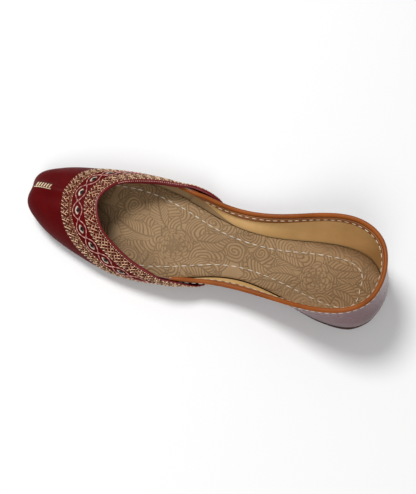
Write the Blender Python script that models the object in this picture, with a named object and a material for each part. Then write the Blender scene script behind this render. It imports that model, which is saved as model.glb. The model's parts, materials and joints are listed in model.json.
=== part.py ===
"""A flat mojari shoe for the left foot: leather outsole, insole, hollow upper, embroidered vamp and collar binding.

Metres, +Z up. The toe points to +X. The origin lies on the floor, under the middle of the shoe.
The upper is a band that runs once around the foot. Each rib of the band climbs from the feather line,
where the upper meets the sole, to the topline, where the foot goes in.
"""

import math

import bmesh
import bpy
import numpy as np
from mathutils import Matrix

# Overall sizes of the last
LENGTH = 0.2558  # heel bulge to toe front
HEEL_WIDTH = 0.0584  # feather line across the heel seat
WAIST_WIDTH = 0.0395  # feather line across the arch
BALL_WIDTH = 0.0712  # feather line across the ball of the foot
TOE_WIDTH = 0.0220  # feather line across the blunt toe front
HEEL_HEIGHT = 0.0490  # topline at the back of the heel, above the floor
WAIST_HEIGHT = 0.0165  # topline at its lowest, beside the arch
THROAT_HEIGHT = 0.0333  # topline at the front of the throat
SIDE_BULGE = 0.0030  # how far the wall swells past the feather line
TOE_SKEW = -0.0055  # the toe leans to the inner side of the foot
SIDE_SHIFT = -0.0015  # and the whole shoe in front of the heel
HEEL_MIDDLE = 0.135  # share of LENGTH from the heel bulge to the middle of the heel seat

# The toe's pinched crease
RIDGE_RISE = 0.0014
RIDGE_SPREAD = 0.0042
NOTCH_DEPTH = 0.0018
NOTCH_SPREAD = 0.0050

# Walls and gaps
QUARTER_WALL = 0.0018
LINING_WALL = 0.0010
VAMP_WALL = 0.0010
GAP = 0.0003
SIDE_GAP = 0.0004

# Sole
SOLE_THICKNESS = 0.0045
SOLE_MARGIN = 0.0002  # the sole's edge stands this far outside the feather line
WAIST_TUCK = 0.0016  # drawn in by this beside the arch
SOLE_BEVEL = 0.0008
STITCH_STEP = 0.0005  # the upper half of the sole's side is cut back by this
INSOLE_THICKNESS = 0.0028
INSOLE_BEVEL = 0.0006
ARCH_RISE = 0.0018
ARCH_FROM = 0.27  # share of LENGTH
ARCH_TO = 0.53  # share of LENGTH
TOE_SPRING = 0.0068
SPRING_FROM = 0.75  # share of LENGTH

# Collar binding, a strip folded over the quarter's edge
BINDING_LEATHER = 0.0009
BINDING_CROWN = 0.0012
BINDING_OUTER_LEG = 0.0032
BINDING_INNER_LEG = 0.0050

# Vamp edge
LIP_CROWN = 0.0009  # turned leather above the topline
TAIL_GAPE = 0.0022  # how far the inner tail stands off the quarter

# Places along the band, counted in rows of RIBS
QUARTER_FRONT = 9.50  # the quarter and its binding end here, inside the vamp
TAIL_TOP = 9.60  # the vamp's top edge leaves the topline here and slopes down
TAIL_TIP = 7.90  # to the tip of its tail
TOE = 19.0
TAIL_HEIGHT = 0.25  # height of the tail's tip, as a share of the rib

STEPS_PER_ROW = 3
RIB_STEPS = 8  # from the feather line up to the binding's inner leg
SOLE_STRIPS = 3

# One row for each rib, from the back of the heel to the toe, on one side of the foot.
# feather_x and top_x are shares of LENGTH. feather_y and top_y are shares of half the named width.
# heel and throat say how much of the topline's climb to HEEL_HEIGHT or THROAT_HEIGHT is reached.
# rise and drop place the rib's two handles, as shares of the rib's height. lean and bulge push the
# handles outward, as shares of SIDE_BULGE. back moves the upper handle towards the feather line.
WIDTHS = {"heel": HEEL_WIDTH, "waist": WAIST_WIDTH, "ball": BALL_WIDTH, "toe": TOE_WIDTH}
COLUMNS = "feather_x width feather_y top_x top_y heel throat rise lean back drop bulge".split()
RIBS = [
    (0.0050, "heel", 0.000, 0.0325, 0.000, 1.000, 0.000, 0.335, 1.05, 0.00, 0.447, 0.60),
    (0.0105, "heel", 0.340, 0.0368, 0.335, 0.998, 0.000, 0.335, 1.02, 0.00, 0.440, 0.55),
    (0.0290, "heel", 0.660, 0.0510, 0.660, 0.990, 0.000, 0.330, 1.00, 0.00, 0.430, 0.40),
    (0.0650, "heel", 0.905, 0.0810, 0.935, 0.955, 0.000, 0.320, 1.00, 0.00, 0.410, 0.20),
    (0.1200, "heel", 0.995, 0.1280, 1.115, 0.865, 0.000, 0.300, 0.95, 0.00, 0.375, 0.10),
    (0.1900, "heel", 0.935, 0.1930, 1.155, 0.655, 0.000, 0.300, 0.87, 0.00, 0.360, 0.00),
    (0.2680, "heel", 0.790, 0.2660, 1.080, 0.370, 0.000, 0.300, 0.70, 0.00, 0.340, -0.10),
    (0.3560, "waist", 1.000, 0.3520, 1.440, 0.130, 0.000, 0.330, 0.60, 0.00, 0.370, -0.20),
    (0.4500, "waist", 1.120, 0.4430, 1.430, 0.015, 0.000, 0.400, 0.60, 0.00, 0.400, 0.00),
    (0.5350, "ball", 0.805, 0.5200, 0.880, 0.000, 0.020, 0.420, 0.85, 0.00, 0.380, 0.40),
    (0.6120, "ball", 0.940, 0.5900, 0.955, 0.000, 0.125, 0.400, 1.05, 0.10, 0.300, 0.85),
    (0.6830, "ball", 0.992, 0.6480, 0.910, 0.000, 0.285, 0.370, 1.10, 0.20, 0.210, 0.80),
    (0.7520, "ball", 0.962, 0.6980, 0.785, 0.000, 0.510, 0.350, 1.00, 0.30, 0.150, 0.60),
    (0.8170, "ball", 0.872, 0.7350, 0.646, 0.000, 0.705, 0.350, 0.85, 0.38, 0.140, 0.35),
    (0.8740, "ball", 0.765, 0.7620, 0.508, 0.000, 0.840, 0.375, 0.75, 0.47, 0.150, 0.10),
    (0.9220, "ball", 0.638, 0.7790, 0.359, 0.000, 0.925, 0.400, 0.67, 0.58, 0.190, 0.00),
    (0.9620, "toe", 1.530, 0.7890, 0.730, 0.000, 0.970, 0.410, 0.63, 0.70, 0.280, 0.00),
    (0.9860, "toe", 1.000, 0.7945, 0.404, 0.000, 0.990, 0.405, 0.60, 0.78, 0.370, 0.00),
    (0.9930, "toe", 0.500, 0.7966, 0.185, 0.000, 0.998, 0.450, 0.60, 0.82, 0.390, 0.00),
    (0.9930, "toe", 0.000, 0.7970, 0.000, 0.000, 1.000, 0.540, 0.67, 0.84, 0.360, 0.00),
]


def smoothstep(x, low, high):
    t = np.clip((np.asarray(x, float) - low) / (high - low), 0.0, 1.0)
    return t * t * (3.0 - 2.0 * t)


def share_of_length(x):
    return x / LENGTH + HEEL_MIDDLE


def sole_bottom(x):
    """Height of the tread: flat at heel and forefoot, lifted at the arch, sprung at the toe."""
    share = share_of_length(x)
    arch = np.clip((share - ARCH_FROM) / (ARCH_TO - ARCH_FROM), 0.0, 1.0)
    spring = np.clip((share - SPRING_FROM) / (1.0 - SPRING_FROM), 0.0, None)
    return ARCH_RISE * np.sin(math.pi * arch) ** 2 + TOE_SPRING * spring**2


def sole_top(x):
    return sole_bottom(x) + SOLE_THICKNESS


def skew(x):
    """Sideways place of the middle line, which swings towards the inner side."""
    share = share_of_length(x)
    shift = SIDE_SHIFT * smoothstep(share, 0.05, 0.30)
    return shift + TOE_SKEW * np.clip((share - 0.607) / 0.386, 0.0, None) ** 1.6


def notched(x, y):
    """The toe front, drawn back at its middle by the crease."""
    front = smoothstep(share_of_length(x), 0.93, 0.985)
    return x - NOTCH_DEPTH * np.exp(-((y / NOTCH_SPREAD) ** 2)) * front


class CubicTable:
    """Smooth curves through the rows of a table, one for each column."""

    def __init__(self, knots, values):
        self.knots, self.values = knots, values
        n = len(knots)
        gaps = np.diff(knots)
        matrix, right = np.eye(n), np.zeros_like(values)
        for i in range(1, n - 1):
            matrix[i, i - 1 : i + 2] = gaps[i - 1], 2 * (gaps[i - 1] + gaps[i]), gaps[i]
            slopes = np.diff(values[i - 1 : i + 2], axis=0) / gaps[i - 1 : i + 1, None]
            right[i] = 6 * (slopes[1] - slopes[0])
        self.bends = np.linalg.solve(matrix, right)

    def __call__(self, at):
        i = np.clip(np.searchsorted(self.knots, at) - 1, 0, len(self.knots) - 2)
        h = (self.knots[i + 1] - self.knots[i])[..., None]
        b = (at[..., None] - self.knots[i][..., None]) / h
        a = 1.0 - b
        bent = (a**3 - a) * self.bends[i] + (b**3 - b) * self.bends[i + 1]
        return a * self.values[i] + b * self.values[i + 1] + bent * h**2 / 6


def read_ribs():
    """The table in metres, extended past the heel and the toe by its own mirror image."""
    rows = []
    for values in RIBS:
        row = dict(zip(COLUMNS, values))
        half = WIDTHS[row["width"]] / 2
        top_z = (
            WAIST_HEIGHT
            + row["heel"] * (HEEL_HEIGHT - WAIST_HEIGHT)
            + row["throat"] * (THROAT_HEIGHT - WAIST_HEIGHT)
        )
        rows.append(
            [
                (row["feather_x"] - HEEL_MIDDLE) * LENGTH,
                row["feather_y"] * half,
                (row["top_x"] - HEEL_MIDDLE) * LENGTH,
                row["top_y"] * half,
                top_z,
                row["rise"],
                row["lean"] * SIDE_BULGE,
                row["back"],
                row["drop"],
                row["bulge"] * SIDE_BULGE,
            ]
        )
    rows = np.array(rows)
    mirror = np.array([1, -1, 1, -1, 1, 1, 1, 1, 1, 1.0])
    extra = 3
    full = np.vstack([rows[extra:0:-1] * mirror, rows, rows[-2 : -2 - extra : -1] * mirror])
    steps = np.linalg.norm(np.diff(full[:, 0:2], axis=0), axis=1)
    steps = steps + np.linalg.norm(np.diff(full[:, 2:4], axis=0), axis=1)
    knots = np.concatenate([[0.0], np.cumsum(steps)])
    return CubicTable(knots, full), np.arange(-extra, len(rows) + extra), knots


RIB_CURVES, RIB_INDEX, RIB_KNOTS = read_ribs()


def rib_values(s):
    return RIB_CURVES(np.interp(s, RIB_INDEX, RIB_KNOTS))


def feather_normal(s):
    """Unit vector in plan that points out of the foot at the feather line."""
    step = 0.01
    ahead, behind = rib_values(s + step), rib_values(s - step)
    along = ahead[..., 0:2] - behind[..., 0:2]
    out = np.stack([-along[..., 1], along[..., 0]], -1)
    return out / np.linalg.norm(out, axis=-1, keepdims=True)


def last_point(s, v, side):
    """A point of the last: s along the band in rows, v from the feather line (0) to the topline (1)."""
    s, v = np.broadcast_arrays(np.asarray(s, float), np.asarray(v, float))
    row = rib_values(s)
    out = feather_normal(s)
    feather, top = row[..., 0:2], row[..., 2:4]
    feather_z = sole_top(feather[..., 0]) + GAP
    top_z = row[..., 4]
    height = top_z - feather_z
    low = feather + out * row[..., 6:7]
    low_z = feather_z + row[..., 5] * height
    high = top + (feather - top) * row[..., 7:8] + out * row[..., 9:10]
    high_z = top_z - row[..., 8] * height
    a, b, c, d = (1 - v) ** 3, 3 * v * (1 - v) ** 2, 3 * v**2 * (1 - v), v**3
    plan = (
        a[..., None] * feather
        + b[..., None] * low
        + c[..., None] * high
        + d[..., None] * top
    )
    z = a * feather_z + b * low_z + c * high_z + d * top_z
    x, y = plan[..., 0], plan[..., 1]
    near_toe = smoothstep(share_of_length(x), 0.80, 0.95)
    z = z + RIDGE_RISE * np.exp(-((y / RIDGE_SPREAD) ** 2)) * near_toe * smoothstep(v, 0.0, 0.25)
    x = notched(x, y)
    return np.stack([x, side * y + skew(x), z], -1)


def last_frame(s, v, side):
    """Point, outward normal and climbing tangent of the last."""
    ds, dv = 0.02, 0.01
    v_low, v_high = np.clip(v - dv, 0, 1), np.clip(v + dv, 0, 1)
    along = last_point(s + ds, v, side) - last_point(s - ds, v, side)
    climb = last_point(s, v_high, side) - last_point(s, v_low, side)
    normal = side * np.cross(climb, along)
    normal = normal / np.linalg.norm(normal, axis=-1, keepdims=True)
    climb = climb / np.linalg.norm(climb, axis=-1, keepdims=True)
    return last_point(s, v, side), normal, climb


def shell_point(s, v, side, out, up=0.0):
    """A point at a distance out from the last, and up past the topline along the rib."""
    point, normal, climb = last_frame(s, v, side)
    point = point + normal * np.asarray(out)[..., None] + climb * np.asarray(up)[..., None]
    at_feather = np.broadcast_to(np.asarray(v) <= 0, point.shape[:-1])
    seat = sole_top(point[..., 0]) + GAP
    point[..., 2] = np.where(at_feather, seat, point[..., 2])
    return point


def climb_steps(s, side):
    """Steps up a rib, with one at the foot of each leg of the binding."""
    top, low = last_point(s, 1.0, side), last_point(s, 0.9, side)
    per_metre = 0.1 / np.linalg.norm(top - low)
    inner, outer = 1.0 - BINDING_INNER_LEG * per_metre, 1.0 - BINDING_OUTER_LEG * per_metre
    return np.concatenate([np.linspace(0.0, inner, RIB_STEPS), [outer, 1.0]])


def rows_between(start, end):
    """Places along the band from start to end, at the shared steps, with both ends kept."""
    step = 1.0 / STEPS_PER_ROW
    inner = np.arange(math.ceil(start / step + 0.3), math.floor(end / step - 0.3) + 1) * step
    return np.concatenate([[start], inner, [end]])


def both_sides(s):
    """Stations from one side around the toe to the other, as (s, side) pairs."""
    left = [(value, 1) for value in s]
    right = [(value, -1) for value in s[::-1]]
    return left[:-1] + right if s[-1] == TOE else left + right


def new_object(name, bm, collection, material):
    bmesh.ops.recalc_face_normals(bm, faces=bm.faces)
    mesh = bpy.data.meshes.new(name)
    bm.to_mesh(mesh)
    bm.free()
    mesh.materials.append(material)
    mesh.shade_smooth()
    mesh.set_sharp_from_angle(angle=math.radians(38))
    made = bpy.data.objects.new(name, mesh)
    collection.objects.link(made)
    return made


def loft(name, sections, closed, collection, material):
    """A solid through closed sections of equal length, joined end to end or capped."""
    bm = bmesh.new()
    loops = [[bm.verts.new(point) for point in section] for section in sections]
    pairs = list(zip(loops, loops[1:] + loops[:1])) if closed else list(zip(loops, loops[1:]))
    for one, other in pairs:
        for i in range(len(one)):
            j = (i + 1) % len(one)
            bm.faces.new([one[i], one[j], other[j], other[i]])
    if not closed:
        for loop in (loops[0], loops[-1]):
            half = len(loop) // 2
            for i in range(half - 1):
                bm.faces.new([loop[i], loop[i + 1], loop[-2 - i], loop[-1 - i]])
    bmesh.ops.triangulate(bm, faces=bm.faces)
    return new_object(name, bm, collection, material)


def plate(name, margin, layers, collection, material):
    """A flat piece on the foot's outline. Each layer is (cut back from the margin, height function)."""
    s = rows_between(0.0, TOE)
    row, out = rib_values(s), feather_normal(s)
    across = np.linspace(1.0, -1.0, SOLE_STRIPS + 1)
    bm = bmesh.new()
    sheets = []
    for cut, height in layers:
        edge = row[:, 0:2] + out * (margin(s) - cut)[:, None]
        x, half = edge[:, 0], np.maximum(edge[:, 1], 0.0)
        sheet = []
        for i, half_width in enumerate(half):
            places = across if 0 < i < len(s) - 1 else [0.0]
            line = []
            for k in places:
                y = k * half_width
                along = float(notched(x[i], y))
                line.append(bm.verts.new((along, y + float(skew(along)), float(height(along)))))
            sheet.append(line)
        sheets.append(sheet)
    for sheet in (sheets[0], sheets[-1]):
        for line, following in zip(sheet, sheet[1:]):
            for k in range(SOLE_STRIPS):
                corners = [line[min(k, len(line) - 1)], line[min(k + 1, len(line) - 1)]]
                corners += [
                    following[min(k + 1, len(following) - 1)],
                    following[min(k, len(following) - 1)],
                ]
                bm.faces.new(list(dict.fromkeys(corners)))
    for sheet in sheets[1:-1]:
        for line in sheet:
            for vertex in line[1:-1]:
                bm.verts.remove(vertex)
    rims = []
    for sheet in sheets:
        left = [line[0] for line in sheet]
        right = [line[-1] for line in sheet[1:-1]]
        rims.append(left + right[::-1])
    for lower, upper in zip(rims, rims[1:]):
        for i in range(len(lower)):
            j = (i + 1) % len(lower)
            bm.faces.new([lower[i], lower[j], upper[j], upper[i]])
    bmesh.ops.triangulate(bm, faces=bm.faces)
    return new_object(name, bm, collection, material)


def make_outsole(collection, material):
    """Leather sole with rounded edges and a stitch step along the upper half of its side."""

    def margin(s):
        beside_arch = smoothstep(s, 3.0, 6.5) * (1.0 - smoothstep(s, 9.5, 12.5))
        return SOLE_MARGIN - WAIST_TUCK * beside_arch

    layers = [
        (SOLE_BEVEL, sole_bottom),
        (0.0, lambda x: sole_bottom(x) + SOLE_BEVEL),
        (0.0, lambda x: sole_bottom(x) + SOLE_THICKNESS * 0.55),
        (STITCH_STEP, lambda x: sole_bottom(x) + SOLE_THICKNESS * 0.62),
        (STITCH_STEP, sole_top),
    ]
    return plate("outsole", margin, layers, collection, material)


def wall_at(s):
    """Thickness of the base upper: quarter at the back, lining alone under the vamp."""
    return np.where(np.asarray(s) <= QUARTER_FRONT, QUARTER_WALL, LINING_WALL)


def make_insole(collection, material):
    """Insole that lies on the outsole inside the upper's wall."""

    def margin(s):
        return -(QUARTER_WALL + SIDE_GAP) * np.ones(len(s))

    layers = [
        (0.0, lambda x: sole_top(x) + GAP),
        (0.0, lambda x: sole_top(x) + GAP + INSOLE_THICKNESS - INSOLE_BEVEL),
        (INSOLE_BEVEL, lambda x: sole_top(x) + GAP + INSOLE_THICKNESS),
    ]
    return plate("insole", margin, layers, collection, material)


def make_upper(collection, material):
    """The hollow upper: one wall all round, open underneath and along the topline."""
    s = np.concatenate([rows_between(0.0, QUARTER_FRONT), rows_between(QUARTER_FRONT + 0.02, TOE)])
    ring = [(value, 1) for value in s] + [(value, -1) for value in s[-2:0:-1]]
    sections = []
    for value, side in ring:
        v = climb_steps(value, side)
        outer = shell_point(value, v, side, np.zeros(len(v)))
        inner = shell_point(value, v[::-1], side, np.full(len(v), -wall_at(value)))
        sections.append(np.vstack([outer, inner]))
    return loft("upper", sections, True, collection, material)


def vamp_top(s):
    """How far up the rib the vamp reaches."""
    ahead = np.clip((TAIL_TOP - s) / (TAIL_TOP - TAIL_TIP), 0.0, 1.0)
    return 1.0 - (1.0 - TAIL_HEIGHT) * ahead**2


def vamp_lift(s, v, side):
    """The tail of the vamp stands out over the binding's outer leg, and gapes on the inner side."""
    over_binding = 1.0 - smoothstep(s, QUARTER_FRONT + 0.15, QUARTER_FRONT + 0.75)
    gape = TAIL_GAPE * (1.0 - smoothstep(s, TAIL_TIP + 0.5, QUARTER_FRONT + 1.0)) if side < 0 else 0.0
    return (BINDING_LEATHER + GAP) * over_binding * smoothstep(v, 0.45, 0.72) + gape * v**2


def make_vamp(collection, material):
    """The embroidered vamp, laid over the upper, with its throat edge turned over the lining."""
    reach = -(LINING_WALL + 0.0002)
    sections = []
    for s, side in both_sides(rows_between(TAIL_TIP, TOE)):
        v = climb_steps(s, side) * vamp_top(s)
        lift = vamp_lift(s, v, side)
        outer = shell_point(s, v, side, GAP + VAMP_WALL + lift)
        inner = shell_point(s, v[::-1], side, (GAP + lift)[::-1])
        near, far = GAP + lift[-1], GAP + VAMP_WALL + lift[-1]
        cut = [
            (far - VAMP_WALL * 0.05, LIP_CROWN * 0.30),
            (far - VAMP_WALL * 0.20, LIP_CROWN * 0.60),
            (far - VAMP_WALL * 0.40, LIP_CROWN * 0.75),
            (near + VAMP_WALL * 0.40, LIP_CROWN * 0.75),
            (near + VAMP_WALL * 0.15, LIP_CROWN * 0.55),
            (near, LIP_CROWN * 0.30),
        ]
        turned = [
            (far - VAMP_WALL * 0.15, LIP_CROWN * 0.75),
            (far - VAMP_WALL * 0.50, LIP_CROWN + GAP),
            (reach + VAMP_WALL * 0.35, LIP_CROWN + GAP),
            (reach, LIP_CROWN * 0.60 + GAP),
            (reach, GAP),
            ((near + reach) / 2, GAP),
        ]
        over = smoothstep(s, QUARTER_FRONT + 0.3, QUARTER_FRONT + 0.7)
        lip = np.array(cut) + (np.array(turned) - np.array(cut)) * over
        rim = shell_point(s, v[-1], side, lip[:, 0], lip[:, 1])
        sections.append(np.vstack([outer, rim, inner]))
    return loft("vamp", sections, False, collection, material)


def make_binding(collection, material):
    """A strip folded over the quarter's edge, from one side of the vamp around the heel to the other."""
    s = rows_between(0.0, QUARTER_FRONT)
    ring = [(value, -1) for value in s[::-1]] + [(value, 1) for value in s[1:]]
    near, far = GAP, GAP + BINDING_LEATHER
    inside = -(QUARTER_WALL + GAP)
    beyond = inside - BINDING_LEATHER
    crown = GAP + BINDING_CROWN
    outside = [
        (far, -BINDING_OUTER_LEG),
        (far, 0.0),
        (far * 0.45, crown * 0.72),
        ((far + beyond) / 2, crown),
        (beyond + far * 0.55, crown * 0.72),
        (beyond, 0.0),
        (beyond, -BINDING_OUTER_LEG),
        (beyond, -BINDING_INNER_LEG),
    ]
    fold = [
        (near, -BINDING_OUTER_LEG),
        (near, 0.0),
        (near, GAP),
        ((near + inside) / 2, GAP),
        (inside, GAP),
        (inside, 0.0),
        (inside, -BINDING_OUTER_LEG),
        (inside, -BINDING_INNER_LEG),
    ]
    profile = outside + fold[::-1]
    sections = []
    for value, side in ring:
        inner_foot, outer_foot = climb_steps(value, side)[-3:-1]
        feet = {-BINDING_INNER_LEG: inner_foot, -BINDING_OUTER_LEG: outer_foot}
        section = [shell_point(value, feet.get(w, 1.0), side, n, max(w, 0.0)) for n, w in profile]
        sections.append(np.array(section))
    return loft("collar_binding", sections, False, collection, material)


def stand_at_origin(collection):
    """Bring the middle of the shoe's box over the origin."""
    places = np.array([vertex.co for made in collection.objects for vertex in made.data.vertices])
    middle = (places.min(axis=0) + places.max(axis=0)) / 2
    for made in collection.objects:
        made.data.transform(Matrix.Translation((-middle[0], -middle[1], 0.0)))


def leather(name, colour, roughness):
    material = bpy.data.materials.new(name)
    material.use_nodes = True
    shader = material.node_tree.nodes["Principled BSDF"]
    shader.inputs["Base Color"].default_value = (*colour, 1.0)
    shader.inputs["Roughness"].default_value = roughness
    shader.inputs["Metallic"].default_value = 0.0
    return material


def build():
    for made in list(bpy.data.objects):
        bpy.data.objects.remove(made)
    shoe = bpy.data.collections.new("mojari_shoe")
    bpy.context.scene.collection.children.link(shoe)
    make_outsole(shoe, leather("sole_leather", (0.42, 0.24, 0.12), 0.6))
    make_insole(shoe, leather("insole_leather", (0.36, 0.24, 0.13), 0.7))
    make_upper(shoe, leather("upper_leather", (0.16, 0.012, 0.02), 0.35))
    make_vamp(shoe, leather("vamp_leather", (0.30, 0.008, 0.018), 0.32))
    make_binding(shoe, leather("binding_leather", (0.50, 0.16, 0.04), 0.4))
    stand_at_origin(shoe)


build()
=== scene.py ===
"""Looks of the mojari shoe: leathers, tooled insole, embroidery, mirrors, stitches, light and camera."""

import json
import math

import bmesh
import bpy
import numpy as np
from mathutils import Matrix, Quaternion, Vector
from mathutils.bvhtree import BVHTree

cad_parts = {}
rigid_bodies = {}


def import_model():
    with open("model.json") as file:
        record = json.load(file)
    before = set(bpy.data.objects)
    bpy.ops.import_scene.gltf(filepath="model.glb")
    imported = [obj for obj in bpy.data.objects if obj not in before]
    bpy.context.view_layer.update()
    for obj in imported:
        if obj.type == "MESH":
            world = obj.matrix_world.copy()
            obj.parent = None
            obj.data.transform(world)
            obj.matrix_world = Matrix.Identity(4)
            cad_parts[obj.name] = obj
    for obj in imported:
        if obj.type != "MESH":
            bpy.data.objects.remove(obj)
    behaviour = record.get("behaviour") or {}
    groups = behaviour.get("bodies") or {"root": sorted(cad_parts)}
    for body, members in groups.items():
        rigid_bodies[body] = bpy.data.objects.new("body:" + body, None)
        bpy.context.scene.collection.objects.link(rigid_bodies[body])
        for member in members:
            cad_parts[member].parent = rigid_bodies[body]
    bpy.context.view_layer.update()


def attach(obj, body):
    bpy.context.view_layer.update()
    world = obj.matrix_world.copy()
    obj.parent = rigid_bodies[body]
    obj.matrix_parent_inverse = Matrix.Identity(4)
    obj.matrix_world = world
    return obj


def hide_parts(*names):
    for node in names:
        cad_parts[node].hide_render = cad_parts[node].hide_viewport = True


MM = 0.001

# Sizes of the last, as in the solids
LENGTH = 0.2558
HEEL_WIDTH = 0.0584
WAIST_WIDTH = 0.0395
BALL_WIDTH = 0.0712
TOE_WIDTH = 0.022
HEEL_HEIGHT = 0.049
WAIST_HEIGHT = 0.0165
THROAT_HEIGHT = 0.0333
SIDE_BULGE = 0.003
TOE_SKEW = -0.0055
SIDE_SHIFT = -0.0015
HEEL_MIDDLE = 0.135
RIDGE_RISE = 0.0014
RIDGE_SPREAD = 0.0042
NOTCH_DEPTH = 0.0018
NOTCH_SPREAD = 0.005
QUARTER_WALL = 0.0018
LINING_WALL = 0.001
VAMP_WALL = 0.001
GAP = 0.0003
SOLE_THICKNESS = 0.0045
SOLE_MARGIN = 0.0002
WAIST_TUCK = 0.0016
INSOLE_THICKNESS = 0.0028
ARCH_RISE = 0.0018
ARCH_FROM = 0.27
ARCH_TO = 0.53
TOE_SPRING = 0.0068
SPRING_FROM = 0.75
BINDING_LEATHER = 0.0009
QUARTER_FRONT = 9.5
TAIL_TOP = 9.6
TAIL_TIP = 7.9
TAIL_HEIGHT = 0.25
TAIL_GAPE = 0.0022
TOE = 19.0
MIDDLE = (0.09314, -0.001775)  # the middle of the shoe's box, measured from the solids

WIDTHS = {"heel": HEEL_WIDTH, "waist": WAIST_WIDTH, "ball": BALL_WIDTH, "toe": TOE_WIDTH}
# Columns of a row: x, width it scales with, y, topline x and y, shares of heel and throat height,
# then rise, lean, back, drop and bulge of the wall between them
RIBS = [
    (0.005, "heel", 0, 0.0325, 0, 1, 0, 0.335, 1.05, 0, 0.447, 0.6),
    (0.0105, "heel", 0.34, 0.0368, 0.335, 0.998, 0, 0.335, 1.02, 0, 0.44, 0.55),
    (0.029, "heel", 0.66, 0.051, 0.66, 0.99, 0, 0.33, 1, 0, 0.43, 0.4),
    (0.065, "heel", 0.905, 0.081, 0.935, 0.955, 0, 0.32, 1, 0, 0.41, 0.2),
    (0.12, "heel", 0.995, 0.128, 1.115, 0.865, 0, 0.3, 0.95, 0, 0.375, 0.1),
    (0.19, "heel", 0.935, 0.193, 1.155, 0.655, 0, 0.3, 0.87, 0, 0.36, 0),
    (0.268, "heel", 0.79, 0.266, 1.08, 0.37, 0, 0.3, 0.7, 0, 0.34, -0.1),
    (0.356, "waist", 1, 0.352, 1.44, 0.13, 0, 0.33, 0.6, 0, 0.37, -0.2),
    (0.45, "waist", 1.12, 0.443, 1.43, 0.015, 0, 0.4, 0.6, 0, 0.4, 0),
    (0.535, "ball", 0.805, 0.52, 0.88, 0, 0.02, 0.42, 0.85, 0, 0.38, 0.4),
    (0.612, "ball", 0.94, 0.59, 0.955, 0, 0.125, 0.4, 1.05, 0.1, 0.3, 0.85),
    (0.683, "ball", 0.992, 0.648, 0.91, 0, 0.285, 0.37, 1.1, 0.2, 0.21, 0.8),
    (0.752, "ball", 0.962, 0.698, 0.785, 0, 0.51, 0.35, 1, 0.3, 0.15, 0.6),
    (0.817, "ball", 0.872, 0.735, 0.646, 0, 0.705, 0.35, 0.85, 0.38, 0.14, 0.35),
    (0.874, "ball", 0.765, 0.762, 0.508, 0, 0.84, 0.375, 0.75, 0.47, 0.15, 0.1),
    (0.922, "ball", 0.638, 0.779, 0.359, 0, 0.925, 0.4, 0.67, 0.58, 0.19, 0),
    (0.962, "toe", 1.53, 0.789, 0.73, 0, 0.97, 0.41, 0.63, 0.7, 0.28, 0),
    (0.986, "toe", 1, 0.7945, 0.404, 0, 0.99, 0.405, 0.6, 0.78, 0.37, 0),
    (0.993, "toe", 0.5, 0.7966, 0.185, 0, 0.998, 0.45, 0.6, 0.82, 0.39, 0),
    (0.993, "toe", 0, 0.797, 0, 0, 1, 0.54, 0.67, 0.84, 0.36, 0),
]


def smoothstep(x, low, high):
    t = np.clip((np.asarray(x, float) - low) / (high - low), 0.0, 1.0)
    return t * t * (3.0 - 2.0 * t)


def unit(vectors):
    return vectors / np.linalg.norm(vectors, axis=-1, keepdims=True)


def lengths_along(points):
    """The way along a line of points, 0 at its first."""
    return np.append([0.0], np.cumsum(np.linalg.norm(np.diff(points, axis=0), axis=1)))


def sample(table, places, at):
    """The columns of a table whose rows stand at some places, read at others."""
    return np.column_stack([np.interp(at, places, column) for column in table.T])


def blur(values, kernel):
    return np.convolve(np.pad(values, len(kernel) // 2, mode="edge"), kernel, mode="valid")


def spread(*values):
    return np.broadcast_arrays(*(np.asarray(k, float) for k in values))


def share_of_length(x):
    return x / LENGTH + HEEL_MIDDLE


def sole_bottom(x):
    share = share_of_length(x)
    arch = np.clip((share - ARCH_FROM) / (ARCH_TO - ARCH_FROM), 0.0, 1.0)
    spring = np.clip((share - SPRING_FROM) / (1.0 - SPRING_FROM), 0.0, None)
    return ARCH_RISE * np.sin(math.pi * arch) ** 2 + TOE_SPRING * spring**2


def sole_top(x):
    return sole_bottom(x) + SOLE_THICKNESS


def skew(x):
    share = share_of_length(x)
    shift = SIDE_SHIFT * smoothstep(share, 0.05, 0.3)
    return shift + TOE_SKEW * np.clip((share - 0.607) / 0.386, 0.0, None) ** 1.6


def notched(x, y):
    front = smoothstep(share_of_length(x), 0.93, 0.985)
    return x - NOTCH_DEPTH * np.exp(-((y / NOTCH_SPREAD) ** 2)) * front


class CubicTable:
    """Smooth curves through the rows of a table, one for each column."""

    def __init__(self, knots, values):
        self.knots, self.values = knots, values
        n = len(knots)
        gaps = np.diff(knots)
        matrix, right = np.eye(n), np.zeros_like(values)
        for i in range(1, n - 1):
            matrix[i, i - 1 : i + 2] = gaps[i - 1], 2 * (gaps[i - 1] + gaps[i]), gaps[i]
            slopes = np.diff(values[i - 1 : i + 2], axis=0) / gaps[i - 1 : i + 1, None]
            right[i] = 6 * (slopes[1] - slopes[0])
        self.bends = np.linalg.solve(matrix, right)

    def __call__(self, at):
        i = np.clip(np.searchsorted(self.knots, at) - 1, 0, len(self.knots) - 2)
        h = (self.knots[i + 1] - self.knots[i])[..., None]
        b = (at[..., None] - self.knots[i][..., None]) / h
        a = 1.0 - b
        bent = (a**3 - a) * self.bends[i] + (b**3 - b) * self.bends[i + 1]
        return a * self.values[i] + b * self.values[i + 1] + bent * h**2 / 6


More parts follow.
